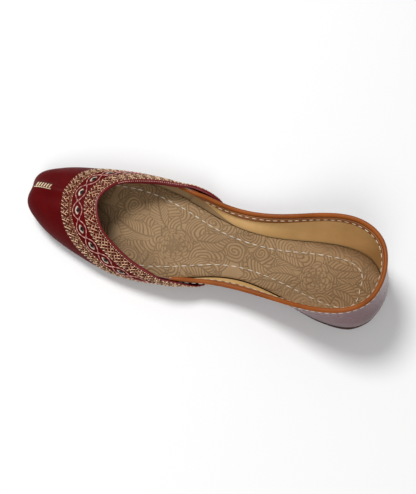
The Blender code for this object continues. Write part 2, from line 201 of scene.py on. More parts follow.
def read_ribs():
    """The table in metres, extended past the heel and the toe by its own mirror image."""
    rows = []
    for fx, width, fy, tx, ty, heel, throat, rise, lean, back, drop, bulge in RIBS:
        half = WIDTHS[width] / 2
        top = WAIST_HEIGHT + heel * (HEEL_HEIGHT - WAIST_HEIGHT) + throat * (THROAT_HEIGHT - WAIST_HEIGHT)
        feather = [(fx - HEEL_MIDDLE) * LENGTH, fy * half]
        topline = [(tx - HEEL_MIDDLE) * LENGTH, ty * half, top]
        rows.append(feather + topline + [rise, lean * SIDE_BULGE, back, drop, bulge * SIDE_BULGE])
    rows = np.array(rows)
    mirror = np.array([1, -1, 1, -1, 1, 1, 1, 1, 1, 1.0])
    extra = 3
    full = np.vstack([rows[extra:0:-1] * mirror, rows, rows[-2 : -2 - extra : -1] * mirror])
    knots = lengths_along(full[:, 0:2]) + lengths_along(full[:, 2:4])
    return CubicTable(knots, full), np.arange(-extra, len(rows) + extra), knots


RIB_CURVES, RIB_INDEX, RIB_KNOTS = read_ribs()


def rib_values(s):
    return RIB_CURVES(np.interp(s, RIB_INDEX, RIB_KNOTS))


def feather_normal(s):
    step = 0.01
    along = (rib_values(s + step) - rib_values(s - step))[..., 0:2]
    return unit(np.stack([-along[..., 1], along[..., 0]], -1))


def last_point(s, v, side):
    """A point of the last: s along the band in rows, v from the feather line (0) to the topline (1)."""
    s, v, side = spread(s, v, side)
    row = rib_values(s)
    out = feather_normal(s)
    feather, top = row[..., 0:2], row[..., 2:4]
    feather_z = sole_top(feather[..., 0]) + GAP
    top_z = row[..., 4]
    height = top_z - feather_z
    low = feather + out * row[..., 6:7]
    low_z = feather_z + row[..., 5] * height
    high = top + (feather - top) * row[..., 7:8] + out * row[..., 9:10]
    high_z = top_z - row[..., 8] * height
    a, b, c, d = (1 - v) ** 3, 3 * v * (1 - v) ** 2, 3 * v**2 * (1 - v), v**3
    plan = a[..., None] * feather + b[..., None] * low + c[..., None] * high + d[..., None] * top
    z = a * feather_z + b * low_z + c * high_z + d * top_z
    x, y = plan[..., 0], plan[..., 1]
    near_toe = smoothstep(share_of_length(x), 0.8, 0.95)
    z = z + RIDGE_RISE * np.exp(-((y / RIDGE_SPREAD) ** 2)) * near_toe * smoothstep(v, 0.0, 0.25)
    x = notched(x, y)
    return np.stack([x, side * y + skew(x), z], -1)


def last_frame(s, v, side):
    """A point of the last, its outward normal and the way up the band."""
    ds, dv = 0.02, 0.01
    along = last_point(s + ds, v, side) - last_point(s - ds, v, side)
    climb = last_point(s, np.clip(v + dv, 0, 1), side) - last_point(s, np.clip(v - dv, 0, 1), side)
    normal = np.asarray(side, float)[..., None] * np.cross(climb, along)
    return last_point(s, v, side), unit(normal), unit(climb)


def shell(s, v, side, out, up=0.0):
    """Points of the shoe at a distance out from the last, in the row's frame."""
    s, v, side, out, up = spread(s, v, side, out, up)
    point, normal, climb = last_frame(s, v, side)
    point = point + normal * out[..., None] + climb * up[..., None]
    seat = sole_top(point[..., 0]) + GAP
    point[..., 2] = np.where(v <= 0, seat, np.maximum(point[..., 2], seat))
    point[..., 0:2] -= MIDDLE
    return point


def over_middle(x, y):
    """Places beside a straight middle line, bent to the shoe's: along it, then x and y in the frame."""
    along = notched(x, y)
    return along, along - MIDDLE[0], y + skew(along) - MIDDLE[1]


def vamp_top(s):
    ahead = np.clip((TAIL_TOP - s) / (TAIL_TOP - TAIL_TIP), 0.0, 1.0)
    return 1.0 - (1.0 - TAIL_HEIGHT) * ahead**2


def past_quarter(s, low, high):
    """A step from 0 to 1 between two distances ahead of the quarter's front, in stations."""
    return smoothstep(s, QUARTER_FRONT + low, QUARTER_FRONT + high)


def wall_at(s, low, high):
    """Thickness of the wall, which thins from the quarter's to the lining's."""
    return QUARTER_WALL - (QUARTER_WALL - LINING_WALL) * past_quarter(s, low, high)


def vamp_lift(s, v, side):
    """How far the vamp stands off the upper: over the binding, and open at its right tail."""
    over_binding = 1.0 - past_quarter(s, 0.15, 0.75)
    gape = TAIL_GAPE * (1.0 - smoothstep(s, TAIL_TIP + 0.5, QUARTER_FRONT + 1.0)) * (np.asarray(side) < 0)
    return (BINDING_LEATHER + GAP) * over_binding * smoothstep(v, 0.45, 0.72) + gape * v**2


def wave_noise(point, scale, seed):
    """Smooth noise from a few crossed waves, the same each run."""
    rng = np.random.default_rng(seed)
    total = np.zeros(point.shape[:-1])
    for _ in range(7):
        direction = unit(rng.normal(size=3)) / scale * rng.uniform(0.6, 1.6)
        total += np.sin(point @ direction * 2 * math.pi + rng.uniform(0, 2 * math.pi))
    return total / 7


def around(s):
    """Stations up one side of the shoe and back down the other, and 1 or -1 for the side of each."""
    return np.append(s, s[-2::-1]), np.repeat([1.0, -1.0], [len(s), len(s) - 1])


# Meshes and materials


def add(name, data):
    made = bpy.data.objects.new(name, data)
    bpy.context.scene.collection.objects.link(made)
    return made


def make(name, points, faces, material, uv=None, tint=None, smooth=True):
    """A mesh object. Where uv and tint are given, they hold a row for each point."""
    mesh = bpy.data.meshes.new(name)
    mesh.from_pydata(np.reshape(points, (-1, 3)).tolist(), [], [list(map(int, f)) for f in faces])
    mesh.validate()
    if smooth:
        mesh.shade_smooth()
    if uv is not None:
        layer = mesh.uv_layers.new(name="UVMap")
        loops = np.zeros(len(mesh.loops), dtype=np.int64)
        mesh.loops.foreach_get("vertex_index", loops)
        layer.data.foreach_set("uv", uv[loops].ravel())
    if tint is not None:
        colours = mesh.color_attributes.new(name="Tint", type="FLOAT_COLOR", domain="POINT")
        values = np.column_stack([tint, tint, tint, np.ones(len(tint))])
        colours.data.foreach_set("color", values.ravel())
    mesh.materials.append(material)
    return add(name, mesh)


def grid_faces(rows, columns, close_rows=False, close_columns=False):
    faces = []
    for i in range(rows if close_rows else rows - 1):
        for j in range(columns if close_columns else columns - 1):
            ii, jj = (i + 1) % rows, (j + 1) % columns
            faces.append((i * columns + j, i * columns + jj, ii * columns + jj, ii * columns + j))
    return faces


def face_out(made):
    bm = bmesh.new()
    bm.from_mesh(made.data)
    bmesh.ops.recalc_face_normals(bm, faces=bm.faces)
    bm.to_mesh(made.data)
    bm.free()
    return made


def tube(name, sections, closed, material, tint=None):
    """A skin through closed sections, joined end to end or capped with a face."""
    rows, columns = sections.shape[:2]
    faces = grid_faces(rows, columns, close_rows=closed, close_columns=True)
    if not closed:
        faces.append(tuple(range(columns)))
        faces.append(tuple((rows - 1) * columns + i for i in range(columns))[::-1])
    return face_out(make(name, sections, faces, material, tint=tint))


def nodes_of(name):
    material = bpy.data.materials.new(name)
    material.use_nodes = True
    tree = material.node_tree
    return material, tree, tree.nodes["Principled BSDF"]


def link(source, target):
    target.id_data.links.new(source, target)


def put(node, values):
    for key, value in values.items():
        node.inputs[key].default_value = value


def tint_of(tree):
    """The tint that make() stores on the points."""
    made = tree.nodes.new("ShaderNodeAttribute")
    made.attribute_name = "Tint"
    return made.outputs["Fac"]


def texture(tree, kind, scale, coordinates="Object"):
    where = tree.nodes.new("ShaderNodeTexCoord")
    made = tree.nodes.new(kind)
    made.inputs["Scale"].default_value = scale
    link(where.outputs[coordinates], made.inputs["Vector"])
    return made


def noise(tree, scale, detail):
    made = texture(tree, "ShaderNodeTexNoise", scale)
    put(made, {"Detail": detail, "Roughness": 0.55})
    return made.outputs["Fac"]


def ramp(tree, source, stops):
    """Colour from a value, between two stops."""
    made = tree.nodes.new("ShaderNodeValToRGB")
    for element, (place, colour) in zip(made.color_ramp.elements, stops):
        element.position = place
        element.color = (*colour, 1.0)
    link(source, made.inputs["Fac"])
    return made.outputs["Color"]


def mix(tree, factor, one, other):
    made = tree.nodes.new("ShaderNodeMix")
    made.data_type = "RGBA"
    for socket, value in zip((made.inputs[0], made.inputs[6], made.inputs[7]), (factor, one, other)):
        if isinstance(value, tuple):
            socket.default_value = (*value, 1.0)
        else:
            link(value, socket)
    return made.outputs[2]


def bump(shader, height, strength, distance, before=None):
    made = shader.id_data.nodes.new("ShaderNodeBump")
    put(made, {"Strength": strength, "Distance": distance})
    link(height, made.inputs["Height"])
    if before is not None:
        link(before, made.inputs["Normal"])
    link(made.outputs["Normal"], shader.inputs["Normal"])
    return made.outputs["Normal"]


def plain(name, colour, roughness, gloss):
    material, _, shader = nodes_of(name)
    put(shader, {"Base Color": (*colour, 1.0), "Roughness": roughness, "Specular IOR Level": gloss})
    return material


def grain(tree, scale):
    made = texture(tree, "ShaderNodeTexVoronoi", scale)
    made.feature = "DISTANCE_TO_EDGE"
    return made.outputs["Distance"]


def leather(name, dark, light, roughness, gloss, coat=0.0):
    """Leather with mottled colour, fine grain and uneven gloss."""
    material, tree, shader = nodes_of(name)
    mottle = ramp(tree, noise(tree, 60.0, 5.0), [(0.3, dark), (0.7, light)])
    link(mottle, shader.inputs["Base Color"])
    smoother, rougher = (roughness - 0.06,) * 3, (roughness + 0.08,) * 3
    uneven = ramp(tree, noise(tree, 170.0, 3.0), [(0.25, smoother), (0.75, rougher)])
    link(uneven, shader.inputs["Roughness"])
    fine = bump(shader, grain(tree, 900.0), 0.25, 0.00006)
    bump(shader, noise(tree, 240.0, 3.0), 0.25, 0.00025, fine)
    put(shader, {"Specular IOR Level": gloss, "Coat Weight": coat, "Coat Roughness": 0.28})
    return material


def two_tone(material, other):
    """A second colour where the piece's tint is above a half."""
    tree = material.node_tree
    base = tree.nodes["Principled BSDF"].inputs["Base Color"]
    share = ramp(tree, tint_of(tree), [(0.48, (0.0,) * 3), (0.52, (1.0,) * 3)])
    link(mix(tree, share, base.links[0].from_socket, other), base)


def thread_material(name, dark, light, metallic, roughness):
    """Twisted thread: stripes across each stitch, and a tint from stitch to stitch."""
    material, tree, shader = nodes_of(name)
    link(mix(tree, tint_of(tree), dark, light), shader.inputs["Base Color"])
    twist = texture(tree, "ShaderNodeTexWave", 1.6, "UV")
    twist.wave_type = "BANDS"
    twist.bands_direction = "DIAGONAL"
    bump(shader, twist.outputs["Fac"], 0.5, 0.00012)
    put(shader, {"Metallic": metallic, "Roughness": roughness})
    return material


# Thread work


def lay_stitches(name, starts, ends, normals, width, height, material, tint):
    """Each stitch is a low pad of thread from a start to an end, lying on the surface below it."""
    count = len(starts)
    width = np.broadcast_to(width, count)[:, None]
    along = ends - starts
    length = np.linalg.norm(along, axis=1, keepdims=True)
    along = along / np.maximum(length, 1e-9)
    across = unit(np.cross(normals, along))
    up = np.cross(along, across)
    rings = [(0.0, 0.25), (0.1, 0.8), (0.35, 1.0), (0.65, 1.0), (0.9, 0.8), (1.0, 0.25)]
    profile = [(-0.5, -0.15), (-0.34, 0.62), (0.0, 1.0), (0.34, 0.62), (0.5, -0.15)]
    points, uv = [], []
    for t, size in rings:
        centre = starts + along * (length * t)
        for a, b in profile:
            rise = b * size if b > 0 else b
            points.append(centre + across * (a * size * width) + up * (rise * height))
            uv.append(np.column_stack([length[:, 0] * t / MM, np.full(count, a)]))
    each = len(points)
    pattern = np.array(grid_faces(len(rings), len(profile)))[:, ::-1]
    faces = (np.arange(count)[:, None, None] * each + pattern).reshape(-1, 4)
    points, uv = (np.stack(k, 1).reshape(count * each, -1) for k in (points, uv))
    make(name, points, faces, material, uv, np.repeat(np.clip(tint, 0.0, 1.0), each))


class Field:
    """The vamp's surface around its top edge: a is the way along the edge, d the way down from it."""

    def __init__(self, tree, edge, normals, reach, step):
        along = lengths_along(edge)
        count = int(along[-1] / (0.8 * MM)) | 1
        self.a = np.linspace(0.0, along[-1], count)
        points, facing = sample(edge, along, self.a), sample(normals, along, self.a)
        tangents = np.gradient(points, axis=0)
        self.a = self.a - self.a[-1] / 2
        self.end = 0.97 * self.a[-1]
        self.d = np.arange(0.0, reach + step, step)
        self.place = np.zeros((count, len(self.d), 3))
        self.normal = np.zeros((count, len(self.d), 3))
        self.limit = np.full(count, reach)
        for i in range(count):
            at, normal = Vector(points[i]), Vector(facing[i]).normalized()
            heading = normal.cross(Vector(tangents[i])).normalized()
            ended = False
            for j in range(len(self.d)):
                if j and not ended:
                    found, hit, _, away = tree.find_nearest(at + heading * step)
                    if away > 0.35 * step:
                        self.limit[i] = self.d[j]
                        ended = True
                    else:
                        at, normal = found, hit
                        heading = (heading - normal * heading.dot(normal)).normalized()
                if ended:
                    at = at + heading * step
                self.place[i, j] = at
                self.normal[i, j] = normal
        soft = np.exp(-(np.linspace(-2.2, 2.2, 13) ** 2))
        self.limit = blur(self.limit, soft / soft.sum())
        for j in range(1, len(self.d)):
            for k in range(3):
                self.normal[:, j, k] = blur(self.normal[:, j, k], [0.1, 0.2, 0.4, 0.2, 0.1])
        self.normal = unit(self.normal)

    def scale(self, a):
        """The band narrows where the vamp is lower than the band is wide."""
        return np.clip(np.interp(a, self.a, self.limit) / (BAND_WIDTH + 0.4 * MM), 0.0, 1.0)

    def at(self, a, d):
        a, d = spread(a, d)
        d = d * self.scale(a)
        i = np.clip((a - self.a[0]) / (self.a[1] - self.a[0]), 0, len(self.a) - 1.001)
        j = np.clip(d / (self.d[1] - self.d[0]), 0, len(self.d) - 1.001)
        i0, j0 = i.astype(int), j.astype(int)
        fi, fj = (i - i0)[..., None], (j - j0)[..., None]
        results = []
        for table in (self.place, self.normal):
            low = table[i0, j0] * (1 - fj) + table[i0, j0 + 1] * fj
            high = table[i0 + 1, j0] * (1 - fj) + table[i0 + 1, j0 + 1] * fj
            results.append(low * (1 - fi) + high * fi)
        return results

    def row(self, d):
        """A map from true length along the row at depth d to the way along the edge, and its two ends."""
        line, _ = self.at(self.a, d)
        lengths = lengths_along(line)
        lengths = lengths - np.interp(0.0, self.a, lengths)
        low, high = np.interp((-self.end, self.end), self.a, lengths)
        return lambda t: np.interp(t, lengths, self.a), low, high


def stitch_field(name, field, ends, width, height, material, seed, tints=(0.55,)):
    """Stitches between pairs of places in the field: ends holds their a and d. Width and height in mm."""
    (first_a, second_a), (first_d, second_d) = (k.T for k in ends)
    first, normal = field.at(first_a, first_d)
    second, other = field.at(second_a, second_d)
    thin = 0.45 + 0.55 * field.scale(ends[0].mean(axis=1))
    rng = np.random.default_rng(seed)
    # The tints repeat from stitch to stitch with a random spread. Where callers alternate dark and bright
    # tints, these are painted shade and painted highlight.
    tint = np.resize(tints, len(first)) + rng.normal(0.0, 0.12, len(first))
    lay_stitches(name, first, second, unit(normal + other), width * MM * thin, height * MM, material, tint)


BEADS_AT = 0.55 * MM
LATTICE_FROM, LATTICE_TO = 1.4 * MM, 7.2 * MM
LATTICE_EDGE = 8.3 * MM
CHAIN_MIDDLE, CHAIN_HALF = 12.9 * MM, 3.4 * MM
SATIN_FROM, SATIN_TO = 18.1 * MM, 19.3 * MM
BORDER_FROM, BORDER_TO = 19.6 * MM, 23.6 * MM
BORDER_EDGE = 25.0 * MM
BAND_WIDTH = 25.4 * MM
EYE_PITCH, EYES, EYE_SHIFT = 13.2 * MM, 10, -2.6 * MM


def stitch_row(field, low_d, high_d, pitch, slant):
    """Stitches side by side across a row, each leaning by the slant."""
    row, low, high = field.row((low_d + high_d) / 2)
    t = np.arange(low, high, pitch)
    places = row(np.column_stack([t - slant / 2, t + slant / 2]))
    return np.array([places, np.tile((low_d, high_d), (len(t), 1))])


def lattice(field, low_d, high_d, rows, pitch):
    """Crossed threads that leave small red diamonds."""
    row, low, high = field.row((low_d + high_d) / 2)
    step = (high_d - low_d) / rows
    j, i, side = np.indices((rows, int((high - low) / pitch), 2)).reshape(3, -1)
    here = low + (i + 0.5 * (j % 2)) * pitch
    places = row(np.column_stack([here, here + (side - 0.5) * pitch]))
    return np.array([places, low_d + step * np.column_stack([j, j + 1])])


def bead_line(field, depth):
    row, low, high = field.row(depth)
    t = np.arange(low, high, 1.35 * MM)
    return np.array([row(np.column_stack([t, t + 0.95 * MM])), np.full((len(t), 2), depth)])


def make_gold(field, gold, dull):
    """The bands of gold thread and beads around the throat. Their stitches alternate dark and bright,
    painted shade and painted highlight.
    """
    inner = lattice(field, LATTICE_FROM, LATTICE_TO, 4, 3.1 * MM)
    outer = lattice(field, BORDER_FROM, BORDER_TO, 3, 2.5 * MM)
    # The tints alternate dark and bright from stitch to stitch: painted shade and painted highlight, as if
    # one slant of thread caught the light.
    stitch_field("gold_lattice", field, inner, 0.54, 0.55, gold, 3, (0.2, 0.85, 0.75, 0.3))
    stitch_field("gold_border", field, outer, 0.54, 0.55, gold, 3, (0.1, 0.8, 0.65, 0.2))
    edges = [
        stitch_row(field, low - 0.2 * MM, high, 1.3 * MM, 1.2 * MM)
        for low, high in ((LATTICE_TO, LATTICE_EDGE), (BORDER_TO, BORDER_EDGE))
    ]
    # The edge stitches also take dark and bright tints in turn: painted shade and painted highlight.
    stitch_field("gold_edges", field, np.hstack(edges), 0.68, 0.6, gold, 5, (0.1, 0.9))
    beads = [bead_line(field, depth) for depth in (BEADS_AT, SATIN_FROM - 0.45 * MM)]
    # The beads also take dark and bright tints in turn: painted shade and painted highlight.
    stitch_field("gold_beads", field, np.hstack(beads), 0.72, 0.6, gold, 7, (0.3, 0.95))
    satin = stitch_row(field, SATIN_FROM, SATIN_TO, 0.62 * MM, 0.2 * MM)
    stitch_field("gold_satin", field, satin, 0.55, 0.34, dull, 9)


def cord_stitches(field, row, t, d, pitch):
    """Short slanted stitches along a path in the field, like a two-ply cord."""
    line, _ = field.at(row(t), d)
    lengths = lengths_along(line)
    places = np.arange(0.0, lengths[-1], pitch)[:, None] + np.array([-0.75, 0.75]) * pitch
    ends_t, ends_d = np.interp(places, lengths, t), np.interp(places, lengths, d)
    way_t, way_d = np.diff(ends_t), np.diff(ends_d)
    lean = 0.17 * MM / np.maximum(np.hypot(way_t, way_d), 1e-9) * np.array([-1, 1])
    return np.array([row(ends_t - way_d * lean), ends_d + way_t * lean])


def make_eyes(field, thread, pale, mirror):
    """A twisted cord that winds into eyes, each with a pale almond plate under a dark diamond mirror."""
    row, _, _ = field.row(CHAIN_MIDDLE)
    reach = EYE_PITCH * (EYES / 2 + 1)
    t = np.linspace(-reach, reach, 900) + EYE_SHIFT
    swell = CHAIN_HALF * np.abs(np.sin(math.pi * (t - EYE_SHIFT) / EYE_PITCH)) ** 0.85
    plies = [cord_stitches(field, row, t, CHAIN_MIDDLE + side * swell, 0.95 * MM) for side in (-1, 1)]
    # The cord's tints run from dark to bright and back: painted shade and painted highlights along the
    # twist.
    tints = (0.2, 0.5, 0.9, 0.6)
    stitch_field("eye_cord", field, np.hstack(plies), 0.56, 0.5, thread, 11, tints)

    angle = np.linspace(0.0, 2 * math.pi, 20, endpoint=False)
    bow = 0.2 + 1.45 * np.sin(angle) * (1.0 - 0.3 * np.cos(angle) ** 2)
    almond = np.column_stack([3.1 * np.cos(angle), bow]) * MM
    diamond = np.array([(2.3, -0.4), (0.0, 0.95), (-2.3, -0.4), (0.0, -1.75)]) * MM
    for name, outline, low, high, material in (
        ("eye_plates", almond, 0.05 * MM, 0.3 * MM, pale),
        ("eye_mirrors", diamond, 0.28 * MM, 0.4 * MM, mirror),
    ):
        points, faces, count = [], [], len(outline)
        for index in range(EYES):
            centre = (index - (EYES - 1) / 2) * EYE_PITCH + EYE_SHIFT
            place = row(np.array([centre]))
            thin = 0.6 + 0.4 * field.scale(place)
            flat, normal = field.at(row(centre + outline[:, 0] * thin), CHAIN_MIDDLE + outline[:, 1])
            middle, up = field.at(place, CHAIN_MIDDLE)
            crown = flat + (middle - flat) * 0.16 + normal * high
            base = len(points)
            points.extend(np.vstack([flat + normal * low, crown, middle + up * high]))
            for k in range(count):
                n = (k + 1) % count
                faces.append((base + k, base + n, base + count + n, base + count + k))
                faces.append((base + count + k, base + count + n, base + 2 * count))
        face_out(make(name, points, faces, material, smooth=False))


STRIP_FROM, STRIP_TO, STRIP_Y, STRIP_TURN = 0.1095, 0.1225, -0.0058, 0.09  # x from and to, y, slope


def make_toe_strip(tree, cream, dark):
    """A dark woven ground with slanted pale bars on it and a cord along its left side."""

    def drop(x, y):
        """Places on the skin and its normals there, from straight above."""
        hits = [tree.ray_cast(Vector((px, py, 0.1)), Vector((0, 0, -1))) for px, py in zip(x, y)]
        return np.array([hit[0] for hit in hits]), np.array([hit[1] for hit in hits])

    def rows(name, ends, pitch, sizes, material, seed):
        """Sizes in millimetres: place across, way along and across, width, height, lift."""
        across, dx, dy, width, height, lift = (k * MM for k in sizes)
        x = np.arange(STRIP_FROM + ends[0] * MM, STRIP_TO + ends[1] * MM, pitch * MM)
        y = STRIP_Y + STRIP_TURN * (STRIP_TO - x) + across
        one, up = drop(x, y)
        other, _ = drop(x + dx, y + dy)
        tint = np.random.default_rng(seed).normal(0.7, 0.15, len(x))
        lay_stitches(name, one + up * lift, other + up * lift, up, width, height, material, tint)

    rows("strip_ground", (0.0, 0.0), 0.6, (-2.1, 0.0, 4.2, 0.68, 0.3, 0.16), dark, 51)
    rows("strip_bars", (0.3, -1.2), 2.05, (-1.5, 1.1, 3.2, 0.8, 0.55, 0.3), cream, 52)
    rows("strip_cord", (-0.3, -0.4), 1.25, (1.95, 1.2, 0.2, 0.6, 0.55, 0.2), cream, 53)


# Leather pieces


RIM_REACH = 1.4 * MM  # how far the vamp's rim stands above the lining
RIM_INWARD, RIM_DEEPER = 0.0008, 0.0012  # how far it turns inward, and how much more on the right
RIM_BASE, RIM_ROUND = 0.0003, 0.0009  # where its roll starts and how high it rises
TAIL_INWARD, TAIL_ROUND = 0.0013, 0.0005  # the same for the cut edge of the tails


def make_vamp(material, rim_highlight_material):
    """The vamp: outer skin, turned edge over the lining, and its own thickness. The rim's faces take a
    second leather whose brighter red is a painted highlight.
    """
    s = np.append(np.linspace(TAIL_TIP, 10.0, 26), np.linspace(10.0, TOE, 118)[1:])
    stations, sides = around(s)
    steps = 44
    share = np.linspace(0.0, 1.0, steps)
    v = share * vamp_top(stations)[:, None]
    station, side = stations[:, None], sides[:, None]
    lift = vamp_lift(station, v, side)
    base = GAP + VAMP_WALL + lift
    reach = RIM_REACH * past_quarter(station, 0.3, 1.3) * smoothstep(share, 0.88, 1.0)
    outer = shell(station, v, side, base)
    ripple = wave_noise(outer, 0.019, 4) * 0.00016 + wave_noise(outer, 0.008, 5) * 0.00005
    fade = smoothstep(v, 0.02, 0.2)
    outer = shell(station, v, side, base + ripple * fade, reach)
    edge_n, edge_up = edge_profile(stations, sides, lift[:, -1])
    top = v[:, -1:]
    rim = shell(station, top, side, edge_n, edge_up + reach[:, -1:])
    inner = shell(station, v[:, ::-1], side, (GAP + lift)[:, ::-1], reach[:, ::-1])
    sections = np.hstack([outer, rim, inner])
    piece = tube("vamp_leather", sections, False, material)
    # The rim's faces get the second leather: the vamp's red made brighter, a painted highlight along the
    # rolled rim.
    piece.data.materials.append(rim_highlight_material)
    columns = np.arange(sections.shape[1])
    on_rim = (columns >= steps - 1) & (columns < steps + edge_n.shape[1])
    index = np.zeros(len(piece.data.polygons), dtype=np.int32)
    index[: (len(stations) - 1) * len(columns)] = np.tile(on_rim, len(stations) - 1)
    piece.data.polygons.foreach_set("material_index", index)
    skin = make("skin", outer, grid_faces(*outer.shape[:2]), material)
    edge = shell(stations, v[:, -1], sides, base[:, -1], reach[:, -1])
    near = shell(stations, v[:, -1] * 0.96, sides, base[:, -3])
    along = np.gradient(edge, axis=0)
    normals = unit(np.cross(edge - near, along))
    normals *= np.sign(normals[:, 2].mean())
    return skin, edge, normals


def edge_profile(stations, sides, lift):
    """The rolled rim of the throat, deeper on the right, and the plainer cut edge of the tails."""
    right = sides < 0
    near, far = GAP + lift - TAIL_INWARD * right, GAP + VAMP_WALL + lift
    deep = smoothstep(stations, QUARTER_FRONT, 10.6) * (1.0 - smoothstep(stations, 12.0, 14.5)) * right
    t = np.linspace(0.0, math.pi, 10)

    def arc(inner):
        return ((far + inner) / 2)[:, None] + ((far - inner) / 2)[:, None] * np.cos(t)

    cut_n, turned_n = arc(near), arc(-RIM_INWARD - RIM_DEEPER * deep)
    cut_up, turned_up = TAIL_ROUND * np.sin(t), RIM_BASE + RIM_ROUND * np.sin(t) ** 0.7
    over = past_quarter(stations, 0.3, 0.9)[:, None]
    return cut_n + (turned_n - cut_n) * over, cut_up + (turned_up - cut_up) * over


LINING_SLANT = 7.7  # the station where the right side's lining is down to the insole


def make_upper(outside, inside):
    """Quarter and vamp lining in one wall, its inner face khaki behind and the insole's colour in front."""
    s = np.append(np.linspace(0.0, QUARTER_FRONT, 96), np.linspace(QUARTER_FRONT + 0.02, TOE, 96))
    station, side = (k[:-1, None] for k in around(s))
    v = np.linspace(0.0, 1.0, 36)
    behind = station <= QUARTER_FRONT
    wall = np.where(behind, QUARTER_WALL, LINING_WALL)
    outer = shell(station, v, side, 0.0)
    sag = wave_noise(outer, 0.024, 8) * 0.0002 * smoothstep(v, 0.1, 0.4) * (1 - smoothstep(v, 0.75, 0.95))
    outer = shell(station, v, side, np.where(behind, sag, -0.0001))
    inner = shell(station, v[::-1], side, -wall * 0.55)
    tube("quarter_leather", np.hstack([outer, inner]), True, outside)
    outer = shell(station, v, side, -wall * 0.55 - 0.00003)
    inner = shell(station, v[::-1], side, -wall)
    slanted = 0.6 * (station - LINING_SLANT) / (QUARTER_FRONT - LINING_SLANT)
    front = np.where(station < QUARTER_FRONT + 0.01, np.where(side < 0, slanted, -1.0), 2.0)
    tint = np.clip(0.5 + 3.0 * (front - np.append(v, v[::-1])), 0.0, 1.0)
    tube("lining", np.hstack([outer, inner]), True, inside, tint.ravel())


REACH_NEAR, REACH_FAR = 0.5, 0.75  # how far the binding runs on under the vamp, in stations
UNDER_DROP = 0.0024  # and how far it sinks there
ROLL_RADIUS = 0.00144
FLAP_DEPTH = 0.005


def make_binding(roll_leather, flap_leather):
    """A round roll on the quarter's edge and a flap turned down inside it, both ending under the vamp."""
    far = np.linspace(QUARTER_FRONT + REACH_FAR, 0.0, 132)
    near = np.linspace(0.0, QUARTER_FRONT + REACH_NEAR, 128)[1:]
    station = np.append(far, near)[:, None]
    side = np.repeat([-1.0, 1.0], [len(far), len(near)])[:, None]
    right = side < 0
    onward = (station - QUARTER_FRONT) / np.where(right, REACH_FAR, REACH_NEAR)
    under = smoothstep(onward, np.where(right, -0.1, -0.9), 1.0)
    ending = np.where(right, 0.45, 0.8) * under
    height = rib_height(station)

    def on_edge(n, up):
        """Points around the top edge: what is below it follows the wall, what is above it stands up."""
        up = up - UNDER_DROP * under
        return shell(station, 1.0 + np.minimum(up, 0.0) / height, side, n, np.maximum(up, 0.0))

    angle = np.linspace(-0.62 * math.pi, 0.72 * math.pi, 22)
    thick = ROLL_RADIUS * (1.0 - ending) * (0.8 + 0.2 * smoothstep(station, 0.5, 3.5))
    inward = np.where(right, 0.0012, 0.0002) * past_quarter(station, -0.5, 0.3)
    middle = -QUARTER_WALL / 2 + 0.0002 - inward
    roll = on_edge(middle + thick * 1.06 * np.sin(angle), 0.00005 + thick * (np.cos(angle) + 0.12))
    hug_n = np.array([-QUARTER_WALL - 0.0002, -QUARTER_WALL, 0.00012, 0.00018])
    hug_up = np.array([-0.0008, 0.00015, 0.00015, -0.0008])
    fold = on_edge(hug_n * (1.0 - 0.3 * under), hug_up)
    tube("collar_roll", np.hstack([roll, fold]), False, roll_leather)

    share = np.linspace(0.0, 1.0, 10)
    wall = wall_at(station, -0.05, 0.3)
    depth = 0.0006 + FLAP_DEPTH * share * (1.0 - ending) + 0.0006 * under
    swell = 0.00035 * np.sin(math.pi * share) ** 0.7 * (1.0 - ending)
    face = shell(station, 1.0 - depth / height, side, -wall - 0.0008 + 0.0006 * ending - swell)
    back = shell(station, 1.0 - depth[:, ::-1] / height, side, -wall - 0.0001)
    tube("collar_flap", np.hstack([face, back]), False, flap_leather)


def rib_height(stations):
    top, low = last_point(stations, 1.0, 1.0), last_point(stations, 0.85, 1.0)
    return np.linalg.norm(top - low, axis=-1) / 0.15


def sole_edge(s, margin):
    row, out = rib_values(s), feather_normal(s)
    edge = row[:, 0:2] + out * np.asarray(margin)[..., None]
    return edge[:, 0], np.maximum(edge[:, 1], 0.0)


def make_sole(material):
    """Leather sole with a rounded, slightly wavy edge and the step that its stitches pull in."""
    s, sides = (k[:-1] for k in around(np.linspace(0.0, TOE, 230)))
    tuck = WAIST_TUCK * smoothstep(s, 3.0, 6.5) * (1.0 - smoothstep(s, 9.5, 12.5))
    ripple = 0.00022 * np.sin(s * 9.3) * smoothstep(s, 10.5, 12.0) + 0.0001 * np.sin(s * 4.1 + 1.0)
    layers = [
        (0.006, 0, 1), (0.001, 0, 1), (0.0003, 0.00018, 1), (0, 0.0007, 1),
        (0, 0.0019, 1), (0.0002, 0.0026, 0.9), (0.00055, 0.0029, 0.7), (0.00055, 0.0037, 0.3),
        (0.0003, 0.0043, 0.15), (0.0006, 0.0045, 0.15), (0.006, 0.0045, 1),
    ]  # how far each is cut back, its height, and its share of the tuck at the waist
    rings = []
    for cut, height, tucked in layers:
        x, half = sole_edge(s, SOLE_MARGIN - tucked * tuck + ripple - cut)
        along, x, y = over_middle(x, sides * half)
        rings.append(np.column_stack([x, y, sole_bottom(along) + height]))
    sections = np.stack(rings, 1)
    count, columns = sections.shape[:2]
    faces = grid_faces(count, columns, close_rows=True)
    for column, flip in ((0, False), (columns - 1, True)):
        for i in range(count // 2):
            corners = (i, i + 1, (count - i - 1) % count, (count - i) % count)
            corners = list(dict.fromkeys(k * columns + column for k in corners))
            if len(corners) > 2:
                faces.append(tuple(corners if flip else corners[::-1]))
    face_out(make("sole_leather", sections, faces, material))


# Tooled insole


GROOVE_DEPTH = 0.0005


def wave(value, spacing):
    return (0.5 + 0.5 * np.cos(2 * math.pi * value / spacing)) ** 4


